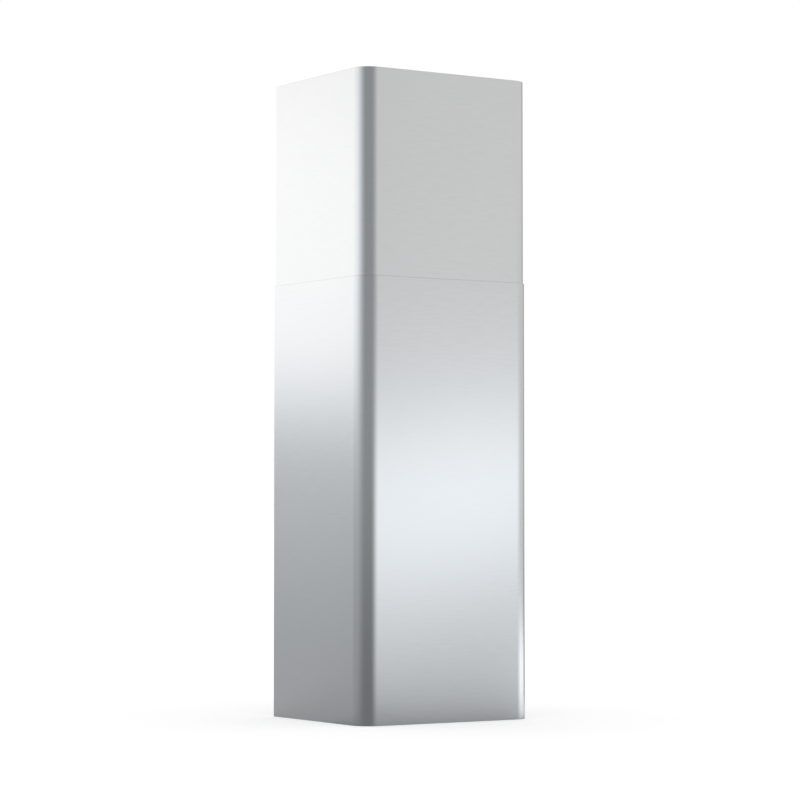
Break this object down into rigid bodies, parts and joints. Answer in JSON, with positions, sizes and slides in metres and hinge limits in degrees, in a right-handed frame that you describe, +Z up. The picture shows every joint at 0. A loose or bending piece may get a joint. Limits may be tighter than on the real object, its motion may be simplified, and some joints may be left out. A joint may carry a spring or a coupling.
{
  "type": "cooker hood chimney section",
  "caption": "Telescopic brushed steel chimney cover for a wall-mounted cooker hood: a rounded lower sleeve with an upper sleeve that slides up inside it, both open at the back.",
  "frame": {"origin": "centre of the lower sleeve's outline, on the plane of its bottom edge", "axes": "+Z up to the ceiling, +Y to the wall, front towards -Y, +X to the right of someone who faces the front"},
  "size_m": [0.277, 0.236, 0.888],
  "materials": {
    "brushed_stainless": "horizontally brushed, satin",
    "galvanised_sheet": "galvanised, dull spangle",
    "zinc_plated": "bright zinc plate",
    "grey_felt": "pressed felt",
    "white_nylon": "satin moulded"
  },
  "bodies": {
    "lower": {"lower_section": "brushed_stainless", "mouth_felt_front": "grey_felt", "mouth_felt_left": "grey_felt", "mouth_felt_right": "grey_felt"},
    "upper": {"upper_section": "brushed_stainless", "lower_wall_bracket": "galvanised_sheet", "upper_wall_bracket": "galvanised_sheet", "flange_studs": "zinc_plated", "flange_nuts": "zinc_plated", "tail_clip_front_left": "white_nylon", "tail_clip_front_right": "white_nylon", "tail_clip_left": "white_nylon", "tail_clip_right": "white_nylon"}
  },
  "joints": [
    {"name": "upper_slide", "type": "slide", "parent": "lower", "child": "upper", "axis": [0, 0, 1], "range_m": [-0.28, 0.16]}
  ]
}
